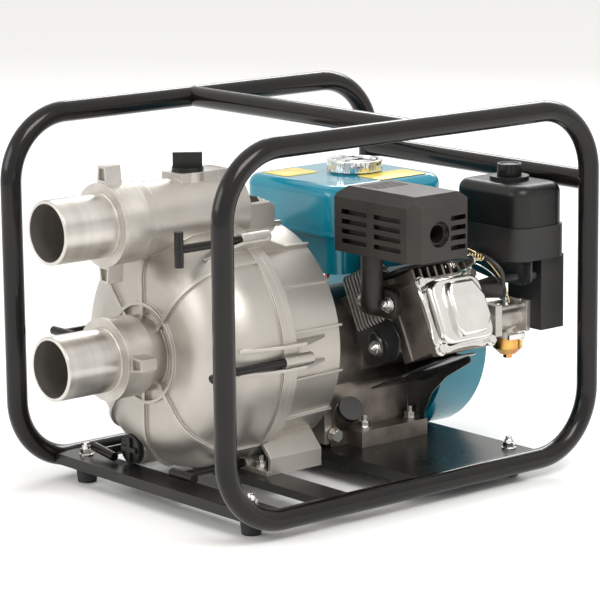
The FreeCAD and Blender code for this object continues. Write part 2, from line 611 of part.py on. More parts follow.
def valve_cover():
    x0 = CRANK_X + HEAD_TOP
    mid = CRANK_Z + COVER_T
    flange = box(x0, x0 + 3, HEAD_Y - 50, HEAD_Y + 50, mid - 51, mid + 51)
    flange = rounded(flange, 12, lambda e: e.Length < 3.1)
    dish = box(x0, x0 + 22, HEAD_Y - 40, HEAD_Y + 40, mid - 40, mid + 40)
    dish = rounded(dish, 16, lambda e: 21 < e.Length < 23)
    dish = rounded(dish, 6, lambda e: e.BoundBox.XMin > x0 + 21.9)
    raised = prism(
        [(HEAD_Y - 16, mid - 36), (HEAD_Y + 22, mid - 36), (HEAD_Y + 36, mid - 18), (HEAD_Y + 36, mid + 10),
         (HEAD_Y + 22, mid + 34), (HEAD_Y - 16, mid + 34), (HEAD_Y - 22, mid + 20), (HEAD_Y - 22, mid - 24)],
        "x", x0 + 20, x0 + 29,
    )
    body = fuse(flange, dish, raised)
    body = body.cut(box(x0 - 1, x0 + 19, HEAD_Y - 36, HEAD_Y + 36, mid - 36, mid + 36))
    for sy in (-1, 1):
        for st in (-1, 1):
            body = body.cut(rod((x0 - 1, HEAD_Y + sy * 41, mid + st * 42), X, 3.2, 6))
    return leaned(body)


def valve_cover_bolts():
    x0 = CRANK_X + HEAD_TOP
    mid = CRANK_Z + COVER_T
    bolts = []
    for sy in (-1, 1):
        for st in (-1, 1):
            y, z = HEAD_Y + sy * 41, mid + st * 42
            washer = rod((x0 + 3, y, z), X, 7.5, 1.5)
            bolt = fuse(rod((x0, y, z), X, 3.0, 5), washer, hexagon((x0 + 4.5, y, z), X, 10, 5))
            bolts.append(leaned(bolt))
    return Part.makeCompound(bolts)


def crankshaft():
    px, pz = leaned_point(STROKE / 2, 0)
    return fuse(
        rod((CRANK_X, -70, CRANK_Z), Y, 9.0, 29),
        rod((CRANK_X, -41, CRANK_Z), Y, 12.5, 133),
        rod((CRANK_X, 88, CRANK_Z), Y, 42, 12),
        rod((px, 96, pz), Y, 15, 40),
        rod((CRANK_X, 132, CRANK_Z), Y, 42, 12),
        rod((CRANK_X, 140, CRANK_Z), Y, 12.5, 76),
    )


def flywheel():
    wheel = ring((CRANK_X, 178, CRANK_Z), Y, 92, 12.5, 14)
    blades = []
    for k in range(16):
        blade = box(CRANK_X - 1.2, CRANK_X + 1.2, 190, 206, CRANK_Z + 56, CRANK_Z + 90)
        blade.rotate(V(CRANK_X, 0, CRANK_Z), Y, 22.5 * k)
        blades.append(blade)
    cup = ring((CRANK_X, 192, CRANK_Z), Y, 34, 30, 20)
    return fuse(wheel, cup, *blades)


def piston():
    crown = rod((CRANK_X + DECK - 36, HEAD_Y, CRANK_Z), X, BORE_R - 0.05, 35)
    return leaned(crown.cut(rod((CRANK_X + DECK - 40, HEAD_Y, CRANK_Z), X, BORE_R - 5, 32)))


def fan_shroud():
    above = box(-300, 300, 0, 300, SHROUD_BOTTOM, 400)
    drum = rod((CRANK_X, 168, CRANK_Z), Y, SHROUD_R, 68).common(above)
    above.translate(Z * 2)
    drum = drum.cut(rod((CRANK_X, 170, CRANK_Z), Y, SHROUD_R - 2, 70).common(above))
    duct = leaned(box(CRANK_X + 30, CRANK_X + 126, 163.5, 190, CRANK_Z - 44, CRANK_Z + 60))
    duct = duct.cut(leaned(box(CRANK_X + 20, CRANK_X + 124, 162, 188, CRANK_Z - 42, CRANK_Z + 58)))
    duct = duct.cut(rod((CRANK_X, 160, CRANK_Z), Y, SHROUD_R - 2, 80))
    drum = drum.cut(leaned(box(CRANK_X + 60, CRANK_X + 122, 160, 188, CRANK_Z - 42, CRANK_Z + 58)))
    body = drum.fuse(duct)
    body = body.cut(rod((CRANK_X, 160, CRANK_Z), Y, 78, 20))
    switch_box = box(-166, -144, 176, 206, 168, 200)
    body = body.fuse(switch_box.cut(rod((CRANK_X, 150, CRANK_Z), Y, SHROUD_R - 1, 90)))
    return max(body.removeSplitter().Solids, key=lambda s: s.Volume)


def recoil_cover():
    shell = fuse(
        ring((CRANK_X, 236, CRANK_Z), Y, SHROUD_R, 88, 2.5),
        Part.makeCone(92, 78, 20, V(CRANK_X, 236, CRANK_Z), Y),
        box(CRANK_X - 118, CRANK_X - 60, 240, 254, CRANK_Z + 30, CRANK_Z + 62),
    )
    shell = shell.common(box(-300, 300, 0, 300, SHROUD_BOTTOM, 400))
    shell = shell.cut(Part.makeCone(89.5, 75.5, 17.5, V(CRANK_X, 235.9, CRANK_Z), Y))
    for k in range(12):
        slot = box(CRANK_X - 5, CRANK_X + 5, 250, 262, CRANK_Z + 36, CRANK_Z + 64)
        slot.rotate(V(CRANK_X, 0, CRANK_Z), Y, 30 * k + 15)
        shell = shell.cut(slot)
    return max(shell.Solids, key=lambda s: s.Volume)


def fuel_tank():
    x0, x1, y0, y1, z0, z1 = TANK
    seam = z0 + 50
    upper = soft_box(x0, x1, y0, y1, seam, z1, 22, 14)
    lower = rounded(box(x0 + 5, x1 - 5, y0 + 5, y1 - 5, z0, seam), 20, upright)
    lip = rounded(box(x0 - 5, x1 + 4, y0 - 5, y1 + 5, seam - 2, seam + 2), 24, upright)
    body = fuse(upper, lower, lip, rod((CAP[0], CAP[1], z1 - 1), Z, 30, 3))
    body = body.cut(rod((CRANK_X, 160, CRANK_Z), Y, SHROUD_R + 1, 90))
    hollow = rounded(box(x0 + 8, x1 - 8, y0 + 8, 150, z0 + 3, z1 - 3), 16, upright)
    hollow = hollow.fuse(box(x0 + 10, x1 - 10, 140, y1 - 10, 245, z1 - 3))
    return body.cut(hollow)


def fuel_cap():
    x, y = CAP
    cap = rod((x, y, TANK[5] + 2.3), Z, 35, 13.7)
    for k in range(18):
        a = math.radians(20 * k)
        cap = cap.cut(rod((x + 37.5 * math.cos(a), y + 37.5 * math.sin(a), 330), Z, 4.5, 20))
    return cap


def muffler_guard():
    x0, x1, y0, y1, z0, z1 = GUARD
    side = [(y0, z0), (y1, z0), (y1, z1 - 12), (y1 - 14, z1), (y0 + 14, z1), (y0, z1 - 12)]
    plan = [(x0, y0), (x1 - 12, y0), (x1, y0 + 12), (x1, y1 - 10), (x1 - 10, y1), (x0, y1)]
    top = [(x0, z0), (x1, z0), (x1, z1 - 12), (x1 - 12, z1), (x0 + 10, z1), (x0, z1 - 8)]
    outer = prism(side, "x", x0, x1).common(prism(plan, "z", z0, z1)).common(prism(top, "y", y0, y1))
    t = 2.0
    side_in = [
        (y0 + t, z0 - 1), (y1 - t, z0 - 1), (y1 - t, z1 - 13),
        (y1 - 15, z1 - t), (y0 + 15, z1 - t), (y0 + t, z1 - 13),
    ]
    plan_in = [
        (x0 + t, y0 + t), (x1 - 13, y0 + t), (x1 - t, y0 + 13),
        (x1 - t, y1 - 11), (x1 - 11, y1 - t), (x0 + t, y1 - t),
    ]
    top_in = [
        (x0 + t, z0 - 1), (x1 - t, z0 - 1), (x1 - t, z1 - 13),
        (x1 - 13, z1 - t), (x0 + 11, z1 - t), (x0 + t, z1 - 9),
    ]
    inner = prism(side_in, "x", x0 + t, x1 - t).common(prism(plan_in, "z", z0 - 1, z1 - t)).common(
        prism(top_in, "y", y0 + t, y1 - t)
    )
    shell = outer.cut(inner)
    for k in range(4):
        z = z1 - 29 - 11.8 * k
        for a, b in ((x0 + 12, x0 + 58), (x0 + 70, x0 + 118)):
            shell = shell.cut(box(a, b, y0 - 5, y0 + 5, z - 3, z + 3))
        shell = shell.cut(box(x1 - 5, x1 + 5, y1 - 36, y1 - 12, z - 3, z + 3))
    shell = shell.cut(rod((x1 - 6, y0 + 41, z1 - 46), X, 15.5, 12))
    for k in range(5):
        shell = shell.cut(box(x0 + 22 + 7 * k, x0 + 25 + 7 * k, y0 + 20, y1 - 22, z1 - 6, z1 + 2))
    return shell


def muffler():
    x0, x1, y0, y1, z0, z1 = GUARD
    body = soft_box(x0 + 7, x1 - 10, y0 + 7, y1 - 7, z0 + 4, z1 - 9, 16, 12)
    tail = ring((x1 - 14, y0 + 41, z1 - 46), X, 13, 11, 9)
    return body.cut(rod((x1 - 30, y0 + 41, z1 - 46), X, 11, 40)).fuse(tail)


def exhaust_pipe():
    """Flange on the head's port, a short elbow, and a riser into the muffler's floor."""
    px, pz = leaned_point(150, 18)
    y = HEAD_Y - 54
    flange = box(px - 30, px + 30, y - 8, y, pz - 17, pz + 17)
    flange = rounded(flange, 14, lambda e: 7.9 < e.Length < 8.1)
    elbow = rod((px, y - 8, pz), V(0, -1, 0), 13.5, 14)
    ball = Part.makeSphere(13.5, V(px, y - 22, pz))
    riser = rod((px, y - 22, pz), Z, 13.5, GUARD[4] + 4 - pz)
    nuts = [hexagon((px + s * 21, y - 8, pz), V(0, -1, 0), 12, 7) for s in (-1, 1)]
    return fuse(flange, elbow, ball, riser, *nuts)


def leaned_point(d, t):
    a = math.radians(TILT)
    return CRANK_X + d * math.cos(a) - t * math.sin(a), CRANK_Z + d * math.sin(a) + t * math.cos(a)


def air_cleaner():
    x0, x1, y0, y1, z0, z1 = FILTER
    mid_x, mid_y = (x0 + x1) / 2, (y0 + y1) / 2
    seam = z0 + 40
    lid = soft_box(x0, x1, y0, y1, seam, z1, 20, 13)
    lid = lid.cut(soft_box(x0 + 3, x1 - 3, y0 + 3, y1 - 3, seam - 1, z1 - 3, 17, 10))
    hub = rod((mid_x, mid_y, z1 - 5), Z, 24, 10).cut(rod((mid_x, mid_y, seam), Z, 3.1, 90))
    lid = lid.cut(rod((mid_x, mid_y, seam), Z, 3.1, 90))
    save("air_cleaner_cover", lid.fuse(hub))
    tray = rounded(box(x0 - 2, x1 + 2, y0 - 2, y1 + 2, z0, seam), 20, upright)
    tray = tray.cut(rounded(box(x0 + 2, x1 - 2, y0 + 2, y1 - 2, z0 + 4, seam + 1), 17, upright))
    elbow = fuse(
        box(x1 - 66, x1 - 8, CARB_WALL, y1 + 3, 150, z0 + 1),
        rod((x1 - 24, y1 + 2, 178), Y, 13, 4),
    )
    elbow = elbow.cut(box(x1 - 62, x1 - 12, CARB_WALL + 4, y1 - 1, 154, z0 + 2))
    duct = elbow.cut(rod((CARB[0], CARB_WALL - 1, CARB[2]), Y, 11, 10))
    tray = tray.cut(box(x1 - 60, x1 - 14, CARB_WALL + 6, y1 - 4, z0 - 1, z0 + 6))
    stud = rod((mid_x, mid_y, z0), Z, 3.0, z1 - z0 + 6)
    save("air_cleaner_base", fuse(tray, duct, stud))
    element = rounded(box(x0 + 12, x1 - 12, y0 + 10, y1 - 10, z0 + 5, z1 - 16), 14, upright)
    element = element.cut(rod((mid_x, mid_y, z0), Z, 6, 120))
    save("filter_element", element)
    knob = fuse(
        rod((mid_x, mid_y, z1 + 5.2), Z, 17, 4),
        rod((mid_x, mid_y, z1 + 9), Z, 15, 11),
    )
    knob = knob.cut(rod((mid_x, mid_y, z1), Z, 3.05, 12))
    save("air_cleaner_knob", knob)


def carburettor():
    x, y, z = CARB
    front = 180.0
    body = fuse(
        rod((x, front, z), Y, 15, CARB_WALL - front),
        box(x - 24, x + 24, CARB_WALL - 6, CARB_WALL, z - 14, z + 24),
        box(x - 24, x + 24, front, front + 5, z - 14, z + 24),
        rod((x, y, z - 22), Z, 19, 8),
        rod((x, y, z - 16), Z, 13, 16),
        rod((x + 17, front + 5, z + 18), Y, 2.6, CARB_WALL - front - 10),
        rod((x - 17, front + 5, z + 18), Y, 2.6, CARB_WALL - front - 10),
        rod((x, front - 21, z), Y, 14, 21).cut(cylinder_head()),
        box(x - 24, x + 24, front - 6, front, z - 14, z + 24),
    )
    body = body.cut(rod((x, front - 30, z), Y, 9, 100))
    save("carburettor", max(body.removeSplitter().Solids, key=lambda s: s.Volume))
    bowl = fuse(
        rod((x, y, z - 36), Z, 18.4, 14),
        Part.makeCone(10, 18.4, 8, V(x, y, z - 44), Z),
        hexagon((x, y, z - 49), Z, 10, 6),
    )
    save("float_bowl", bowl)
    choke = fuse(rod((x - 4, 218, z + 15.3), Z, 3.5, 10.7), box(x - 8, x + 24, 215, 221, z + 25, z + 28))
    save("choke_lever", choke)
    cock = fuse(rod((x + 19.2, y, z - 18), X, 6, 5), box(x + 22, x + 26, y - 22, y + 4, z - 21, z - 15))
    save("fuel_cock_lever", cock)


def controls():
    """The stamped control plate over the cylinder, its throttle lever, and the stop switch on the shroud."""
    bracket = fuse(
        box(34, 92, 150, 153, 226, 252),
        box(34, 92, 128, 153, 250, 252),
    )
    save("control_plate", bracket.cut(cylinder_head()))
    arm, end = box(59, 65, 116, 146, 254, 256.5), rod((62, 118, 252.5), Z, 5, 4)
    save("throttle_lever", fuse(rod((62, 142, 252), Z, 6, 3), arm, end))
    rocker = rod((-155, 175.7, 184), V(0, -1, 0), 8, 3).fuse(box(-157, -153, 169, 173.5, 177, 191))
    save("stop_switch", rocker)


def ignition():
    """Spark plug in the head, its boot, and the lead back to the coil under the shroud."""
    seat, axis = PLUG_SEAT, PLUG_AXIS
    stem = Part.makeCylinder(4.5, 18, seat + axis * 18, axis)
    boot = Part.makeCylinder(9, 40, seat + axis * 18, axis).cut(stem)
    lead = tube(LEAD_ROUTE, LEAD_R)
    save("spark_plug", fuse(Part.makeCylinder(6.5, 38, seat - axis * 20, axis), stem))
    save("plug_cap", boot)
    save("plug_lead", max(lead.cut(boot).cut(fan_shroud()).Solids, key=lambda s: s.Volume))


def small_engine_parts():
    side = box(CRANK_X + 88, CRANK_X + 138, HEAD_Y - 49, HEAD_Y - 46, CRANK_Z - 50, CRANK_Z + 46)
    under = box(CRANK_X + 90, CRANK_X + 192, HEAD_Y - 45, HEAD_Y + 45, CRANK_Z - 62.5, CRANK_Z - 60.5)
    save("cylinder_baffles", Part.makeCompound([leaned(side), leaned(under)]))
    axis = V(-0.7, 0.2, -0.5).normalize()
    top = V(CRANK_X + 84.5, 39.8, 56.4)
    stem = Part.makeCylinder(10, 16, top - axis * 0.6, axis)
    save("oil_plug", stem.fuse(Part.makeCylinder(15.5, 9, top - axis * 9.2, axis)))
    drain = hexagon((CRANK_X + 76, 24, 27), X, 14, 7)
    save("engine_bolts", Part.makeCompound(valve_cover_bolts().Solids + [drain]))
    grip = fuse(
        rod((CRANK_X - 132, 247, CRANK_Z + 46), X, 3, 13.7),
        rod((CRANK_X - 134, 247, CRANK_Z + 26), Z, 8, 40),
    )
    save("starter_grip", grip)


def engine():
    save("crankcase", crankcase())
    save("crankcase_cover", crankcase_cover())
    save("cylinder", cylinder())
    save("cylinder_head", cylinder_head())
    save("valve_cover", valve_cover())
    save("crankshaft", crankshaft())
    save("flywheel", flywheel())
    save("piston", piston())
    save("fan_shroud", fan_shroud())
    save("recoil_cover", recoil_cover())
    save("fuel_tank", fuel_tank())
    save("fuel_cap", fuel_cap())
    save("muffler_guard", muffler_guard())
    save("muffler", muffler())
    save("exhaust_pipe", exhaust_pipe())
    air_cleaner()
    carburettor()
    controls()
    ignition()
    small_engine_parts()


cradle()
pump()
mounting_bolts()
engine()
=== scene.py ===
# %% [markdown]
# # An engine-driven trash pump
# A trash pump is a small petrol engine that drives a cast pump, both bolted into a cradle of bent tube so that two
# people can carry it. The frame that this file starts from already holds every working part at its real size. What
# is left is how each surface looks: castings, bright zinc, gloss black tube, moulded plastic and teal paint.

import json
import math

import bmesh
import bpy
from mathutils import Matrix, Vector


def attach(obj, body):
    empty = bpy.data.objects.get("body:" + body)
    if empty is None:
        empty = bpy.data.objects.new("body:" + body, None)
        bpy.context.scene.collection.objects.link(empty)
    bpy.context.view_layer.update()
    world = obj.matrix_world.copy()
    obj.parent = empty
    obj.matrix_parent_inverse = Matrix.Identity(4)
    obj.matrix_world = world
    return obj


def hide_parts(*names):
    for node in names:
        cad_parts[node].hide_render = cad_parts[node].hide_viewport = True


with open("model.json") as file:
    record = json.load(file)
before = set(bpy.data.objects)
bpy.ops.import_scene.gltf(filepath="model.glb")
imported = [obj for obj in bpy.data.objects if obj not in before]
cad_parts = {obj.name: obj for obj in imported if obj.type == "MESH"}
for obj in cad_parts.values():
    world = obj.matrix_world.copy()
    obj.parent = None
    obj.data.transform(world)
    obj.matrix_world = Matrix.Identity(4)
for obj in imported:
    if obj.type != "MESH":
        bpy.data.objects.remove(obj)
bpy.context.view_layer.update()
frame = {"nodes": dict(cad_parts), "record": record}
nodes = frame["nodes"]
MM = 0.001

# %% [markdown]
# ## Where the maker's numbers start
# The frame's origin is on the floor at the middle of the footprint. The pump and the engine share one shaft, and it
# is easier to place things from that shaft than from the floor, so `at` takes millimetres from the cradle's own
# middle, at the height of its bottom tubes, and gives metres in the frame.

# %% A place in the cradle, in millimetres
CRADLE_MIDDLE = Vector((5.15, 22.4, 24.0))
SHAFT_X, SHAFT_Z = -48.0, 117.0
TILT = math.radians(25)


def at(x, y, z):
    return (Vector((x, y, z)) + CRADLE_MIDDLE) * MM


def on_cylinder(d, y, t):
    """A place d out from the shaft along the leaning cylinder and t above its line."""
    x = SHAFT_X + d * math.cos(TILT) - t * math.sin(TILT)
    z = SHAFT_Z + d * math.sin(TILT) + t * math.cos(TILT)
    return at(x, y, z)


print("shaft at", tuple(round(v, 4) for v in at(SHAFT_X, 0, SHAFT_Z)))

# %% [markdown]
# ## The camera
# A long lens from well back, a little above the machine, flattens the perspective so that both hoops look nearly the
# same size. The camera is placed by its three axes rather than by pointing it at something, because it also leans
# over by about half a degree.

# %% Camera
CAMERA_AT = Vector((2.7299, -2.2958, 0.9161)) + CRADLE_MIDDLE * MM
AZIMUTH, ELEVATION, ROLL = (math.radians(a) for a in (50.0, 11.44, -0.61))
LENS_LENGTH, SENSOR_WIDTH = 180.66, 36.0
flat_right = Vector((math.cos(AZIMUTH), math.sin(AZIMUTH), 0))
flat_back = Vector((math.sin(AZIMUTH), -math.cos(AZIMUTH), 0))
back = Vector((flat_back.x * math.cos(ELEVATION), flat_back.y * math.cos(ELEVATION), math.sin(ELEVATION)))
flat_up = back.cross(flat_right)
right = flat_right * math.cos(ROLL) + flat_up * math.sin(ROLL)
up = flat_up * math.cos(ROLL) - flat_right * math.sin(ROLL)

bpy.ops.object.select_all(action="DESELECT")
bpy.ops.object.camera_add()
camera = bpy.context.object
camera.name = "Camera"
camera.matrix_world = Matrix(
    (
        (right.x, up.x, back.x, CAMERA_AT.x),
        (right.y, up.y, back.y, CAMERA_AT.y),
        (right.z, up.z, back.z, CAMERA_AT.z),
        (0, 0, 0, 1),
    )
)
camera.data.lens = LENS_LENGTH
camera.data.sensor_width = SENSOR_WIDTH
bpy.context.scene.camera = camera
print("camera", tuple(round(v, 3) for v in camera.location))

# %% [markdown]
# ## The spark plug lead
# A thick rubber lead runs from the coil under the shroud to the boot on the plug. It springs up out of the boot and
# arcs over in front of the air cleaner. A NURBS curve gives that springy line from a few control points, where a
# chain of straight tubes would look bent. The bevel is one metre deep and each point's radius brings it down to the
# lead's own thickness.

# %% Spark plug lead
LEAD_ROUTE = [
    (150.5, 188.4, 203.0), (156.0, 187.0, 222.0), (146.0, 180.0, 237.0), (124.0, 174.0, 246.0),
    (100.0, 170.0, 246.0), (84.0, 173.0, 232.0), (69.2, 177.0, 215.8), (49.3, 177.0, 206.5),
]
LEAD_RADIUS = 3.0
lead_curve = bpy.data.curves.new("spark_plug_lead", "CURVE")
lead_curve.dimensions = "3D"
lead_curve.bevel_depth = 1.0
lead_curve.bevel_resolution = 6
lead_curve.resolution_u = 16
lead_curve.use_fill_caps = True
spline = lead_curve.splines.new("NURBS")
spline.points.add(len(LEAD_ROUTE) - 1)
for point, place in zip(spline.points, LEAD_ROUTE):
    point.co = (*at(*place), 1)
    point.radius = LEAD_RADIUS * MM
spline.order_u = 3
spline.use_endpoint_u = True
lead = bpy.data.objects.new("spark_plug_lead", lead_curve)
bpy.context.collection.objects.link(lead)
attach(lead, "cradle")
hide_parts("plug_lead")
print("lead has", len(LEAD_ROUTE), "control points")

# %% [markdown]
# ## Light and floor
# Large soft lights suit glossy tube and bright metal, because what such surfaces show is mostly the shape of the
# lights. A key light high on the right, a wide fill on the left and a strip behind give each tube a long highlight.

# %% Floor and lights
FLOOR_SIZE, FLOOR_DROP = 14, 0.0005
bpy.ops.object.select_all(action="DESELECT")
bpy.ops.mesh.primitive_plane_add(size=FLOOR_SIZE, location=(0, 0, -FLOOR_DROP))
floor = bpy.context.object
floor.name = "floor"
floor_paint = bpy.data.materials.new("pale_floor")
floor_paint.use_nodes = True
floor_shader = floor_paint.node_tree.nodes["Principled BSDF"]
floor_shader.inputs["Base Color"].default_value = (0.90, 0.90, 0.89, 1)
floor_shader.inputs["Roughness"].default_value = 0.75
floor.data.materials.append(floor_paint)


def soft_light(name, place, target, size, power):
    bpy.ops.object.select_all(action="DESELECT")
    bpy.ops.object.light_add(type="AREA", location=place)
    light = bpy.context.object
    light.name = name
    light.data.shape = "RECTANGLE"
    light.data.size, light.data.size_y = size
    light.data.energy = power
    light.rotation_euler = (Vector(target) - Vector(place)).to_track_quat("-Z", "Y").to_euler()


soft_light("key", place=(2.2, -0.4, 2.6), target=(0, 0, 0.2), size=(1.8, 1.2), power=60)
soft_light("fill", place=(-1.2, -3.2, 1.7), target=(0, 0, 0.2), size=(2.6, 1.6), power=48)
soft_light("rear_strip", place=(-1.6, 2.4, 2.0), target=(0, 0, 0.3), size=(2.4, 0.7), power=45)
world = bpy.data.worlds.new("studio")
world.use_nodes = True
surround = world.node_tree.nodes["Background"]
surround.inputs["Color"].default_value = (1.0, 0.99, 0.97, 1)
surround.inputs["Strength"].default_value = 0.95
bpy.context.scene.world = world
bpy.context.scene.view_settings.view_transform = "Standard"
print("three soft lights and a pale floor")

# %% [markdown]
# ## One recipe, many finishes
# Every surface here is uneven in the same three ways: its colour drifts over a few centimetres, its gloss is patchy,
# and its skin has a fine texture. It also catches light along its edges. `surface` builds those four things once, and
# each finish below is a different set of amounts.

# %% The surface recipe
COAT_ROUGHNESS = 0.06
COLOUR_STOPS = (0.32, 0.68)
DRIFT_DETAIL, FINE_DETAIL = 5.0, 3.0
EDGE_SAMPLES = 4
SKIN_DEPTH = 0.4
WORN_FROM, WORN_TO = 0.98, 0.80


def surface(name, light, dark, rough, metallic=0.0, patch=18.0, grain=900.0, bump=0.1, stretch=(1, 1, 1), coat=0.0,
            edge=None, edge_round=0.8, specular=0.5):
    """A procedural finish; edge is the colour that worn edges take, and edge_round their width in millimetres."""
    made = bpy.data.materials.new(name)
    made.use_nodes = True
    tree = made.node_tree
    shader = tree.nodes["Principled BSDF"]
    shader.inputs["Metallic"].default_value = metallic
    shader.inputs["Coat Weight"].default_value = coat
    shader.inputs["Specular IOR Level"].default_value = specular
    shader.inputs["Coat Roughness"].default_value = COAT_ROUGHNESS

    place = tree.nodes.new("ShaderNodeTexCoord")
    mapping = tree.nodes.new("ShaderNodeMapping")
    mapping.inputs["Scale"].default_value = stretch
    tree.links.new(place.outputs["Object"], mapping.inputs["Vector"])

    drift = tree.nodes.new("ShaderNodeTexNoise")
    drift.inputs["Scale"].default_value = patch
    drift.inputs["Detail"].default_value = DRIFT_DETAIL
    tree.links.new(mapping.outputs["Vector"], drift.inputs["Vector"])
    ramp = tree.nodes.new("ShaderNodeValToRGB")
    for stop, position, shade in zip(ramp.color_ramp.elements, COLOUR_STOPS, (dark, light)):
        stop.position = position
        stop.color = (*shade, 1)
    tree.links.new(drift.outputs["Fac"], ramp.inputs["Fac"])
    colour = ramp.outputs["Color"]

    gloss = tree.nodes.new("ShaderNodeMapRange")
    gloss.inputs["To Min"].default_value, gloss.inputs["To Max"].default_value = rough
    tree.links.new(drift.outputs["Fac"], gloss.inputs["Value"])
    tree.links.new(gloss.outputs["Result"], shader.inputs["Roughness"])

    soft = tree.nodes.new("ShaderNodeBevel")
    soft.samples = EDGE_SAMPLES
    soft.inputs["Radius"].default_value = edge_round * MM
    fine = tree.nodes.new("ShaderNodeTexNoise")
    fine.inputs["Scale"].default_value = grain
    fine.inputs["Detail"].default_value = FINE_DETAIL
    tree.links.new(mapping.outputs["Vector"], fine.inputs["Vector"])
    skin = tree.nodes.new("ShaderNodeBump")
    skin.inputs["Strength"].default_value = bump
    skin.inputs["Distance"].default_value = SKIN_DEPTH * MM
    tree.links.new(fine.outputs["Fac"], skin.inputs["Height"])
    tree.links.new(soft.outputs["Normal"], skin.inputs["Normal"])
    tree.links.new(skin.outputs["Normal"], shader.inputs["Normal"])

    if edge:
        facing = tree.nodes.new("ShaderNodeNewGeometry")
        bend = tree.nodes.new("ShaderNodeVectorMath")
        bend.operation = "DOT_PRODUCT"
        tree.links.new(soft.outputs["Normal"], bend.inputs[0])
        tree.links.new(facing.outputs["Normal"], bend.inputs[1])
        worn = tree.nodes.new("ShaderNodeMapRange")
        worn.inputs["From Min"].default_value, worn.inputs["From Max"].default_value = WORN_FROM, WORN_TO
        tree.links.new(bend.outputs["Value"], worn.inputs["Value"])
        blend = tree.nodes.new("ShaderNodeMix")
        blend.data_type = "RGBA"
        blend.inputs["B"].default_value = (*edge, 1)
        tree.links.new(worn.outputs["Result"], blend.inputs["Factor"])
        tree.links.new(colour, blend.inputs["A"])
        colour = blend.outputs["Result"]
    tree.links.new(colour, shader.inputs["Base Color"])
    return made


print("surface recipe ready")

# %% [markdown]
# ## The finishes
# The castings are bead-blasted aluminium, warm grey and softly shiny. The barbs are turned, so their grain runs round
# them. The cradle is gloss black powder coat, which is really a thin clear skin over black.

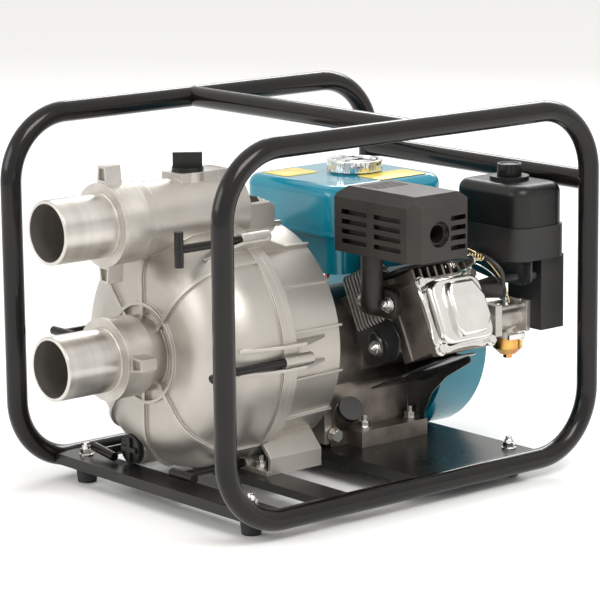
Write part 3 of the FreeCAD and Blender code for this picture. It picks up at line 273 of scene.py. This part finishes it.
# %% Finishes
# light and dark are the two colours that a surface drifts between; rough is its lowest and highest roughness
FINISHES = {
    "tube_black": dict(
        light=(0.010, 0.008, 0.007), dark=(0.005, 0.005, 0.005), rough=(0.12, 0.20),
        grain=420, bump=0.04, specular=0.32,
    ),
    "rail_black": dict(
        light=(0.013, 0.012, 0.011), dark=(0.006, 0.006, 0.006), rough=(0.22, 0.36),
        grain=500, bump=0.06, specular=0.35,
    ),
    "foot_rubber": dict(
        light=(0.022, 0.022, 0.022), dark=(0.012, 0.012, 0.012), rough=(0.6, 0.8),
        bump=0.2,
    ),
    "zinc": dict(
        light=(0.82, 0.81, 0.77), dark=(0.74, 0.74, 0.71), rough=(0.14, 0.22),
        metallic=1.0, patch=40, bump=0.03,
    ),
    "cast_alloy": dict(
        light=(0.60, 0.57, 0.53), dark=(0.46, 0.43, 0.39), rough=(0.34, 0.52),
        metallic=0.9, patch=30, grain=700, bump=0.22, edge=(0.78, 0.76, 0.72),
    ),
    "pump_cast": dict(
        light=(0.53, 0.50, 0.46), dark=(0.45, 0.42, 0.38), rough=(0.36, 0.46),
        metallic=0.9, patch=10, grain=1100, bump=0.14, edge=(0.80, 0.77, 0.73), edge_round=1.2,
    ),
    "cast_iron": dict(
        light=(0.10, 0.10, 0.10), dark=(0.05, 0.05, 0.05), rough=(0.5, 0.7),
        metallic=0.8, grain=500, bump=0.4,
    ),
    "black_plastic": dict(
        light=(0.010, 0.010, 0.009), dark=(0.005, 0.005, 0.005), rough=(0.30, 0.42),
        grain=800, bump=0.10, specular=0.35,
    ),
    "matte_plastic": dict(
        light=(0.018, 0.017, 0.016), dark=(0.009, 0.009, 0.009), rough=(0.42, 0.58),
        grain=900, bump=0.16,
    ),
    "guard_black": dict(
        light=(0.026, 0.021, 0.017), dark=(0.015, 0.013, 0.011), rough=(0.38, 0.52),
        grain=900, bump=0.22, edge=(0.07, 0.06, 0.05), specular=0.4,
    ),
    "teal_paint": dict(
        light=(0.000, 0.245, 0.345), dark=(0.000, 0.205, 0.300), rough=(0.14, 0.24),
        grain=350, bump=0.04, coat=0.35,
    ),
    "steel": dict(
        light=(0.60, 0.59, 0.57), dark=(0.45, 0.44, 0.43), rough=(0.22, 0.36),
        metallic=1.0, bump=0.06,
    ),
    "chrome": dict(
        light=(0.82, 0.82, 0.82), dark=(0.70, 0.70, 0.70), rough=(0.08, 0.18),
        metallic=1.0, bump=0.02,
    ),
    "brass": dict(
        light=(0.72, 0.46, 0.12), dark=(0.50, 0.16, 0.07), rough=(0.16, 0.28),
        metallic=1.0, patch=60, bump=0.04,
    ),
    "foam": dict(
        light=(0.14, 0.14, 0.14), dark=(0.08, 0.08, 0.08), rough=(0.8, 0.95),
        grain=600, bump=0.8,
    ),
    "rubber": dict(
        light=(0.035, 0.030, 0.030), dark=(0.016, 0.014, 0.014), rough=(0.32, 0.48),
        grain=600, bump=0.1,
    ),
    "red_plastic": dict(
        light=(0.50, 0.02, 0.02), dark=(0.38, 0.015, 0.015), rough=(0.25, 0.35),
        bump=0.05,
    ),
    "heat_steel": dict(
        light=(0.030, 0.024, 0.020), dark=(0.012, 0.011, 0.010), rough=(0.38, 0.55),
        metallic=0.3, patch=40, bump=0.2,
    ),
    "label_yellow": dict(
        light=(0.72, 0.56, 0.06), dark=(0.62, 0.46, 0.04), rough=(0.30, 0.40),
        bump=0.03,
    ),
    "shield_black": dict(
        light=(0.020, 0.024, 0.024), dark=(0.008, 0.009, 0.009), rough=(0.16, 0.30),
        patch=26, bump=0.05, coat=0.5,
    ),
    "gold_zinc": dict(
        light=(0.85, 0.68, 0.36), dark=(0.66, 0.50, 0.30), rough=(0.18, 0.30),
        metallic=1.0, patch=90, bump=0.05,
    ),
    "turned_alloy": dict(
        light=(0.66, 0.63, 0.59), dark=(0.54, 0.51, 0.47), rough=(0.26, 0.38),
        metallic=0.95, patch=14, grain=260, bump=0.30, stretch=(0.05, 4.0, 0.05), edge=(0.8, 0.78, 0.75),
    ),
    "head_alloy": dict(
        light=(0.33, 0.29, 0.25), dark=(0.17, 0.15, 0.13), rough=(0.34, 0.50),
        metallic=0.85, patch=34, grain=800, bump=0.3, edge=(0.52, 0.49, 0.45),
    ),
}
finishes = {name: surface(name, **amounts) for name, amounts in FINISHES.items()}
for sub in frame["record"]["subparts"]:
    node = nodes[sub["node"]]
    node.data.materials.clear()
    node.data.materials.append(finishes[sub["material_slot"]])
OWN_FINISH = {
    "hose_barbs": "turned_alloy",
    "cylinder_head": "head_alloy",
    "cylinder": "head_alloy",
    "crankcase": "head_alloy",
    "crankcase_cover": "head_alloy",
    "fuel_cock_lever": "zinc",
    "choke_lever": "zinc",
}
for name, finish in OWN_FINISH.items():
    nodes[name].data.materials.clear()
    nodes[name].data.materials.append(finishes[finish])
lead.data.materials.append(finishes["rubber"])
print(len(finishes), "finishes on", len(nodes), "nodes")

# %% [markdown]
# ## Modelling in the part's own directions
# The cylinder leans, so its bolts and fins do too. Each piece below is modelled level at the origin, then carried to
# its place by one matrix, which is applied so that the finished mesh keeps its own place.

# %% Helpers for the modelled pieces
OUT = Vector((math.cos(TILT), 0, math.sin(TILT)))
OVER = Vector((-math.sin(TILT), 0, math.cos(TILT)))
FRONT = Vector((0, -1, 0))
SMOOTH_UNDER = math.radians(35)


def fresh():
    bpy.ops.object.select_all(action="DESELECT")


def pick(obj, wanted):
    """Selects, in edit mode, the faces that wanted(centre, normal) accepts."""
    bpy.ops.object.mode_set(mode="EDIT")
    bpy.ops.mesh.select_mode(type="FACE")
    bpy.ops.mesh.select_all(action="DESELECT")
    shape = bmesh.from_edit_mesh(obj.data)
    for face in shape.faces:
        face.select = wanted(face.calc_center_median(), face.normal)
    shape.select_flush(True)
    bmesh.update_edit_mesh(obj.data)


def pick_edges(obj, wanted):
    """Selects, in edit mode, the edges whose two ends wanted(a, b) accepts."""
    bpy.ops.object.mode_set(mode="EDIT")
    bpy.ops.mesh.select_mode(type="EDGE")
    bpy.ops.mesh.select_all(action="DESELECT")
    shape = bmesh.from_edit_mesh(obj.data)
    for edge in shape.edges:
        edge.select = wanted(*(end.co for end in edge.verts))
    bmesh.update_edit_mesh(obj.data)


def frame_of(origin, x_axis, z_axis):
    """A matrix whose x and z point along the given directions, at origin."""
    z_axis, x_axis = Vector(z_axis).normalized(), Vector(x_axis).normalized()
    y_axis = z_axis.cross(x_axis).normalized()
    x_axis = y_axis.cross(z_axis)
    return Matrix.Translation(origin) @ Matrix((x_axis, y_axis, z_axis)).transposed().to_4x4()


def upright(y):
    """The place of an outline drawn from the front, in the cradle's own x and z, at depth y."""
    return frame_of(at(0, y, 0), (1, 0, 0), FRONT)


def ring_outline(count, point_at):
    """A filled ring of points, each where point_at(turn) puts it, in millimetres."""
    fresh()
    bpy.ops.mesh.primitive_circle_add(vertices=count, radius=1, fill_type="NGON")
    ring = bpy.context.object
    for vertex in ring.data.vertices:
        u, v = point_at(math.atan2(vertex.co.y, vertex.co.x))
        vertex.co = (u * MM, v * MM, 0)
    return ring


def filled_outline(outline, height=0):
    """A flat face round the outline's points, in millimetres."""
    fresh()
    bpy.ops.mesh.primitive_circle_add(vertices=len(outline), radius=1, fill_type="NGON")
    face = bpy.context.object
    for vertex, (u, v) in zip(face.data.vertices, outline):
        vertex.co = (u * MM, v * MM, height * MM)
    return face


def select_whole():
    bpy.ops.object.mode_set(mode="EDIT")
    bpy.ops.mesh.select_all(action="SELECT")


def draw_up(height):
    """Extrudes the selected faces along z, in millimetres."""
    bpy.ops.mesh.extrude_region_move(TRANSFORM_OT_translate={"value": (0, 0, height * MM)})


def face_outwards():
    bpy.ops.mesh.select_all(action="SELECT")
    bpy.ops.mesh.normals_make_consistent(inside=False)


def settle(obj, name, finish, place=None, body="cradle", stands_for=(), round_edge=0.0, segments=2):
    """Finishes a piece: rounds its edges, carries it to its place, gives it its finish and its body."""
    if bpy.context.mode != "OBJECT":
        bpy.ops.object.mode_set(mode="OBJECT")
    fresh()
    obj.select_set(True)
    bpy.context.view_layer.objects.active = obj
    bpy.ops.object.transform_apply(location=True, rotation=True, scale=True)
    if round_edge:
        rounding = obj.modifiers.new("rounding", "BEVEL")
        rounding.width = round_edge * MM
        rounding.segments = segments
        rounding.limit_method = "ANGLE"
        rounding.angle_limit = SMOOTH_UNDER
        bpy.ops.object.modifier_apply(modifier="rounding")
    if place is not None:
        obj.matrix_world = place
        bpy.ops.object.transform_apply(location=True, rotation=True, scale=True)
    bpy.ops.object.shade_smooth_by_angle(angle=SMOOTH_UNDER)
    obj.name = name
    obj.data.materials.clear()
    obj.data.materials.append(finishes[finish])
    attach(obj, body)
    if stands_for:
        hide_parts(*stands_for)
    return obj


print("helpers ready")

# %% [markdown]
# ## The fuel cap
# A pressed and plated cap has a fluted rim for grip and a shallow dished top. The rim is a many-sided cylinder whose
# every third side is pulled in, and the dish is two insets in the top face.

# %% Fluted caps
# shares of the cap's radius, and of the dish's depth for the last one
FLUTE_MARGIN, RIM_WIDTH, DISH_WALL, BUTTON_GAP, BUTTON_RISE = 0.02, 0.22, 0.10, 0.30, 0.8


def fluted_cap(name, finish, middle, radius, height, sides, depth, body, stands_for, dish):
    fresh()
    bpy.ops.mesh.primitive_cylinder_add(vertices=sides, radius=radius * MM, depth=height * MM)
    cap = bpy.context.object
    spacing = 2 * math.pi / sides * 3

    def is_flute(centre, normal):
        turn = (math.atan2(centre.y, centre.x) + math.pi / sides) % spacing
        return abs(normal.z) < 0.5 and turn < spacing / 3

    pick(cap, is_flute)
    bpy.ops.mesh.inset(thickness=radius * MM * FLUTE_MARGIN, use_individual=True)
    bpy.ops.mesh.extrude_faces_move(TRANSFORM_OT_shrink_fatten={"value": -depth * MM})
    pick(cap, lambda centre, normal: normal.z > 0.9 and centre.z > height * MM * 0.49)
    bpy.ops.mesh.inset(thickness=radius * MM * RIM_WIDTH)
    draw_up(-dish)
    bpy.ops.mesh.inset(thickness=radius * MM * DISH_WALL)
    bpy.ops.mesh.inset(thickness=radius * MM * BUTTON_GAP)
    bpy.ops.transform.translate(value=(0, 0, dish * MM * BUTTON_RISE))
    place = Matrix.Translation(at(middle[0], middle[1], middle[2] + height / 2))
    return settle(cap, name, finish, place, body, stands_for, round_edge=0.5)


cap_piece = fluted_cap(
    "fluted_fuel_cap", "chrome", middle=(-60, 136, 332.3), radius=34.8, height=13.5, sides=108, depth=1.8,
    body="fuel_cap", stands_for=("fuel_cap",), dish=3.0,
)
print("fuel cap faces:", len(cap_piece.data.polygons))

# %% [markdown]
# ## The air cleaner's knob
# The knob on the air cleaner is moulded with the same kind of flutes, smaller and closer, so it comes from the same
# helper. It turns on its own stud, so it rides on its own body.

# %% Air cleaner knob
fluted_cap(
    "fluted_cleaner_knob", "black_plastic", middle=(122, 227, 336.4), radius=15.0, height=14.4, sides=60, depth=1.0,
    body="air_cleaner_knob", stands_for=("air_cleaner_knob",), dish=1.2,
)
print("knob added")

# %% [markdown]
# ## Hexagon nuts on studs
# The bright nuts are what the eye finds first among dark castings. One nut is a six-sided cylinder with a rounded
# washer face and a stud standing out of it, and every size of it comes from its width across the flats.

# %% Nuts with studs
WASHER_THICK, NUT_BASE = 1.4, 1.3
# shares of the width across the flats
WASHER_RADIUS, NUT_HEIGHT, NUT_TOP_MARGIN, NUT_TOP_RISE, STUD_MARGIN, STUD_RISE = 0.82, 0.5, 0.12, 0.06, 0.14, 0.22


def stud_nut(name, origin, axis, across):
    fresh()
    bpy.ops.mesh.primitive_cylinder_add(
        vertices=32, radius=across * WASHER_RADIUS * MM, depth=WASHER_THICK * MM,
        location=(0, 0, WASHER_THICK / 2 * MM),
    )
    washer = bpy.context.object
    fresh()
    bpy.ops.mesh.primitive_cylinder_add(
        vertices=6, radius=across / math.sqrt(3) * MM, depth=across * NUT_HEIGHT * MM,
        location=(0, 0, (NUT_BASE + across * NUT_HEIGHT / 2) * MM),
    )
    nut = bpy.context.object
    pick(nut, lambda centre, normal: normal.z > 0.9)
    bpy.ops.mesh.inset(thickness=across * NUT_TOP_MARGIN * MM)
    draw_up(across * NUT_TOP_RISE)
    bpy.ops.mesh.inset(thickness=across * STUD_MARGIN * MM)
    draw_up(across * STUD_RISE)
    bpy.ops.object.mode_set(mode="OBJECT")
    washer.select_set(True)
    nut.select_set(True)
    bpy.context.view_layer.objects.active = nut
    bpy.ops.object.join()
    side = Vector((0, 0, 1)) if abs(Vector(axis).z) < 0.9 else Vector((1, 0, 0))
    settle(nut, name, "zinc", frame_of(origin, side, axis), round_edge=0.25)


for tag, x in (("left", 59.3), ("right", 101.3)):
    stud_nut(f"exhaust_nut_{tag}", at(x, 47.4, 196.7), FRONT, across=12)
stud_nut("head_stud_nut", on_cylinder(152, 71.4, 54), FRONT, across=10)
print("exhaust nuts added")

# %% [markdown]
# ## Cooling fins
# The cylinder sheds its heat through thin cast fins that stand square to its line. The near side of them is open to
# view past the exhaust, so a row of rounded plates is built from one plate and an array modifier.

# %% Cylinder fins
FIN_SIZE = (1.7, 16, 72)
FIN_CORNER, FIN_COUNT, FIN_PITCH = 7, 9, 6.1
fresh()
bpy.ops.mesh.primitive_cube_add(size=1)
fin = bpy.context.object
fin.scale = tuple(side * MM for side in FIN_SIZE)
bpy.ops.object.transform_apply(location=False, rotation=False, scale=True)
pick_edges(fin, lambda a, b: abs(a.x - b.x) > FIN_SIZE[0] / 2 * MM and a.y < 0)
bpy.ops.mesh.bevel(offset=FIN_CORNER * MM, segments=5)
bpy.ops.object.mode_set(mode="OBJECT")
row = fin.modifiers.new("row", "ARRAY")
row.count = FIN_COUNT
row.use_relative_offset = False
row.use_constant_offset = True
row.constant_offset_displace = (FIN_PITCH * MM, 0, 0)
bpy.ops.object.modifier_apply(modifier="row")
settle(fin, "cylinder_side_fins", "cast_alloy", frame_of(on_cylinder(90, 65, 31), OUT, OVER), round_edge=0.4)
print("fin faces:", len(fin.data.polygons))

# %% [markdown]
# ## The black shields
# Pressed steel shields steer the fan's air round the cylinder. The side one has a round-cornered outline and an oval
# swelling that clears a bolt, and the lower one curves away under the head. The third lies
# under the head. Each starts as a flat outline that is filled, thickened and rounded.

# %% Shields
def pressed_sheet(name, outline, thickness, place, corner, finish="shield_black", stands_for=()):
    sheet = filled_outline(outline)
    bpy.ops.object.mode_set(mode="EDIT")
    face_outwards()
    bpy.ops.mesh.select_mode(type="VERT")
    bpy.ops.mesh.select_all(action="SELECT")
    bpy.ops.mesh.bevel(offset=corner * MM, segments=4, affect="VERTICES")
    bpy.ops.mesh.select_all(action="SELECT")
    draw_up(thickness)
    face_outwards()
    settle(sheet, name, finish, place, stands_for=stands_for, round_edge=0.5)


SIDE_OUTLINE = [(92, 18), (128, 4), (150, -6), (157, -34), (141, -54), (84, -47), (79, -4)]
pressed_sheet(
    "side_shield", SIDE_OUTLINE, thickness=2.0, place=frame_of(on_cylinder(0, 62, 0), OUT, FRONT), corner=7,
    stands_for=("cylinder_baffles",),
)
SWELLING_HALF = (13, 18, 7)
SWELLING_CUT = 0.5
fresh()
bpy.ops.mesh.primitive_uv_sphere_add(segments=40, ring_count=20, radius=1)
swelling = bpy.context.object
swelling.scale = tuple(half * MM for half in SWELLING_HALF)
bpy.ops.object.transform_apply(location=False, rotation=False, scale=True)
select_whole()
bpy.ops.mesh.bisect(plane_co=(0, 0, -SWELLING_CUT * MM), plane_no=(0, 0, 1), use_fill=True, clear_inner=True)
settle(swelling, "shield_swelling", "shield_black", frame_of(on_cylinder(111, 60.5, -26), OUT, FRONT))
stud_nut("shield_bolt", on_cylinder(116, 54.8, -31), FRONT, across=11)

LOWER_OUTLINE = [(24, 104), (70, 121), (132, 125), (139, 118), (94, 92), (66, 66), (53, 40), (53, 30), (24, 30)]
pressed_sheet("lower_shield", LOWER_OUTLINE, thickness=2.0, place=upright(150), corner=5)
TONGUE_OUTLINE = [(60, 70), (150, 78), (186, 92), (194, 116), (186, 150), (60, 150)]
pressed_sheet(
    "head_shield", TONGUE_OUTLINE, thickness=2.0, place=frame_of(on_cylinder(0, 0, -72), OUT, OVER), corner=12
)
print("shields added")

# %% [markdown]
# ## Governor linkage
# The speed governor is an arm on a shaft, a thin rod to the carburettor, and a spring back to the control plate. The
# spring is one small circle swept by a screw modifier. A second rod and the breather tube run the same way, and all
# three are curves turned into meshes.

# %% Governor arm, spring and rods
def helix(name, start, end, coil_radius, wire, turns, finish):
    fresh()
    start, end = at(*start), at(*end)
    length = (end - start).length
    bpy.ops.mesh.primitive_circle_add(
        vertices=8, radius=wire * MM, location=(coil_radius * MM, 0, 0), rotation=(math.pi / 2, 0, 0)
    )
    wire_ring = bpy.context.object
    bpy.ops.object.transform_apply(location=True, rotation=True, scale=True)
    winding = wire_ring.modifiers.new("winding", "SCREW")
    winding.steps = winding.render_steps = 20
    winding.iterations = turns
    winding.screw_offset = length / turns
    winding.use_merge_vertices = True
    bpy.ops.object.modifier_apply(modifier="winding")
    bpy.ops.object.mode_set(mode="EDIT")
    bpy.ops.mesh.select_all(action="DESELECT")
    bpy.ops.mesh.select_mode(type="EDGE")
    bpy.ops.mesh.select_non_manifold(extend=False)
    bpy.ops.mesh.edge_face_add()
    face_outwards()
    settle(wire_ring, name, finish, frame_of(start, (0, 1, 0.01), end - start))


def bent_rod(name, points, radius, finish):
    line = bpy.data.curves.new(name, "CURVE")
    line.dimensions = "3D"
    line.bevel_depth = radius * MM
    line.bevel_resolution = 3
    line.resolution_u = 8
    line.use_fill_caps = True
    run = line.splines.new("NURBS")
    run.points.add(len(points) - 1)
    for point, place in zip(run.points, points):
        point.co = (*at(*place), 1)
    run.order_u = 3
    run.use_endpoint_u = True
    rod = bpy.data.objects.new(name, line)
    bpy.context.collection.objects.link(rod)
    fresh()
    rod.select_set(True)
    bpy.context.view_layer.objects.active = rod
    bpy.ops.object.convert(target="MESH")
    settle(bpy.context.object, name, finish)


GOVERNOR_ROUTE = [(88, 158, 236), (118, 170, 238), (140, 196, 214), (140, 205, 186)]
THROTTLE_ROUTE = [(64, 130, 258), (90, 150, 260), (130, 176, 246), (146, 200, 206), (144, 206, 184)]
BREATHER_ROUTE = [(92, 176, 196), (112, 188, 204), (134, 204, 214), (156, 220, 217), (160, 236, 217)]
helix(
    "governor_spring", start=(100, 150, 244), end=(146, 158, 247), coil_radius=4.2, wire=0.9, turns=11,
    finish="gold_zinc",
)
bent_rod("governor_rod", GOVERNOR_ROUTE, radius=1.3, finish="zinc")
bent_rod("throttle_rod", THROTTLE_ROUTE, radius=1.2, finish="gold_zinc")
bent_rod("breather_tube", BREATHER_ROUTE, radius=6.0, finish="rubber")
ARM_OUTLINE = [
    (84, 216), (96, 214), (112, 226), (134, 232), (146, 243), (140, 250), (118, 244), (98, 240), (88, 230),
]
pressed_sheet("governor_arm", ARM_OUTLINE, thickness=2.2, place=upright(150), corner=3, finish="zinc")
stud_nut("governor_nut", at(101, 147.4, 230), FRONT, across=10)
print("linkage added")

# %% [markdown]
# ## The tank's panels
# Two plain yellow panels lie on top of the tank. They are thin rounded sheets, a fraction of a millimetre proud of
# the paint.

# %% Yellow panels
TANK_TOP_PLACE = frame_of(at(0, 0, 330.1), (1, 0, 0), (0, 0, 1))
PANEL_SPANS = {"front": (-132, -84, 46, 100), "rear": (-30, 16, 112, 190)}
for tag, (x0, x1, y0, y1) in PANEL_SPANS.items():
    corners = [(x0, y0), (x1, y0), (x1, y1), (x0, y1)]
    pressed_sheet(
        f"tank_panel_{tag}", corners, thickness=0.5, place=TANK_TOP_PLACE, corner=5, finish="label_yellow"
    )
print("panels added")

# %% [markdown]
# ## The valve cover
# The valve cover is pressed from one bright sheet: a thin flange with four ears, a deep dish, and a raised panel with
# cut corners. The flange is a ring of points pulled in between its ears. The dish is a block with bevelled corners
# whose front is drawn up and narrowed. The panel is an eight-sided outline drawn up twice, narrower each time.

# %% Valve cover
COVER_MIDDLE = on_cylinder(200.2, 116, -19.5)
COVER_PLACE = frame_of(COVER_MIDDLE, (0, 1, 0), OUT)
FLANGE_HALF, FLANGE_CORNER = 45.0, 53.0
EAR_LENGTH, EAR_SHARPNESS, WAIST_DEPTH = 5.0, 5, 1.0
FLANGE_THICK = 3


def flange_edge(turn):
    ear = abs(math.sin(2 * turn)) ** EAR_SHARPNESS
    flat = FLANGE_HALF / max(abs(math.cos(turn)), abs(math.sin(turn)))
    reach = min(flat, FLANGE_CORNER) + ear * EAR_LENGTH - (1 - ear) * WAIST_DEPTH
    return math.cos(turn) * reach, math.sin(turn) * reach


cover_flange = ring_outline(96, flange_edge)
select_whole()
draw_up(FLANGE_THICK)
face_outwards()
settle(cover_flange, "cover_flange", "zinc", COVER_PLACE, round_edge=0.8, segments=3)

DISH_WIDTH, DISH_DEPTH, DISH_MIDDLE = 82, 12, 8
DISH_CORNER, DISH_RISE, DISH_NARROWING, DISH_MARGIN = 15, 5, 0.93, 1.5
fresh()
bpy.ops.mesh.primitive_cube_add(
    size=1, location=(0, 0, DISH_MIDDLE * MM), scale=(DISH_WIDTH * MM, DISH_WIDTH * MM, DISH_DEPTH * MM)
)
dish = bpy.context.object
bpy.ops.object.transform_apply(location=True, rotation=True, scale=True)
pick_edges(dish, lambda a, b: abs(a.z - b.z) > DISH_DEPTH / 2 * MM)
bpy.ops.mesh.bevel(offset=DISH_CORNER * MM, segments=5)
pick(dish, lambda centre, normal: normal.z > 0.9)
draw_up(DISH_RISE)
bpy.ops.transform.resize(value=(DISH_NARROWING, DISH_NARROWING, 1))
bpy.ops.mesh.inset(thickness=DISH_MARGIN * MM)
bpy.ops.object.mode_set(mode="OBJECT")
settle(dish, "cover_dish", "zinc", COVER_PLACE, round_edge=2.4, segments=3)

PANEL_OUTLINE = [(-16, -35), (20, -35), (35, -18), (35, 12), (22, 34), (-16, 34), (-22, 22), (-22, -24)]
PANEL_FOOT = 17
PANEL_STEPS = ((8, 0.97), (2.6, 0.90))
panel = filled_outline(PANEL_OUTLINE, PANEL_FOOT)
select_whole()
for rise, narrowing in PANEL_STEPS:
    draw_up(rise)
    bpy.ops.transform.resize(value=(narrowing, narrowing, 1))
face_outwards()
settle(panel, "cover_panel", "zinc", COVER_PLACE, stands_for=("valve_cover",), round_edge=1.4, segments=3)
print("valve cover stands", round(panel.dimensions.x / MM, 1), "mm across in x")

# %% [markdown]
# ## The exhaust flange
# Two studs pull a thick oval flange against the head. It is dark with heat like the pipe that drops into it. One ring
# of points is spread apart towards the two studs and cut flat above and below.

# %% Exhaust flange
STUD_OUT = 21
MIDDLE_RADIUS, END_RADIUS, MIDDLE_SPAN = 17.5, 11.5, 0.25
OVAL_HEIGHT, OVAL_FLAT, OVAL_THICK = 19, 17.5, 7


def oval_edge(turn):
    side = STUD_OUT if math.cos(turn) > 0 else -STUD_OUT
    radius = MIDDLE_RADIUS if abs(math.cos(turn)) < MIDDLE_SPAN else END_RADIUS
    across = side * min(1, abs(math.cos(turn)) * 2) + radius * math.cos(turn)
    return across, max(-OVAL_FLAT, min(OVAL_FLAT, OVAL_HEIGHT * math.sin(turn)))


oval = ring_outline(64, oval_edge)
select_whole()
draw_up(OVAL_THICK)
face_outwards()
settle(oval, "exhaust_flange", "heat_steel", frame_of(at(80.3, 55.2, 196.7), (1, 0, 0), FRONT), round_edge=1.2)
print("exhaust flange added")

# %% [markdown]
# ## Two plates that close the view past the head
# A black bracket stands under the air cleaner and fills the gap above the carburettor, and a dark cowl stands behind
# the head. Both are flat sheets, so they come from the same helper as the shields.

# %% Bracket and cowl
BRACKET_OUTLINE = [(70, 214), (118, 206), (160, 206), (176, 212), (176, 240), (70, 240)]
pressed_sheet("cleaner_bracket", BRACKET_OUTLINE, thickness=2.0, place=upright(214), corner=4)
COWL_OUTLINE = [(142, 60), (186, 66), (192, 112), (180, 158), (142, 158)]
pressed_sheet(
    "head_cowl", COWL_OUTLINE, thickness=4.0, place=frame_of(on_cylinder(0, 0, 44), OUT, OVER), corner=9,
    finish="matte_plastic",
)
print("bracket and cowl added")

# %% [markdown]
# ## The end
# The view layer is brought up to date.

# %% The end
bpy.context.view_layer.update()
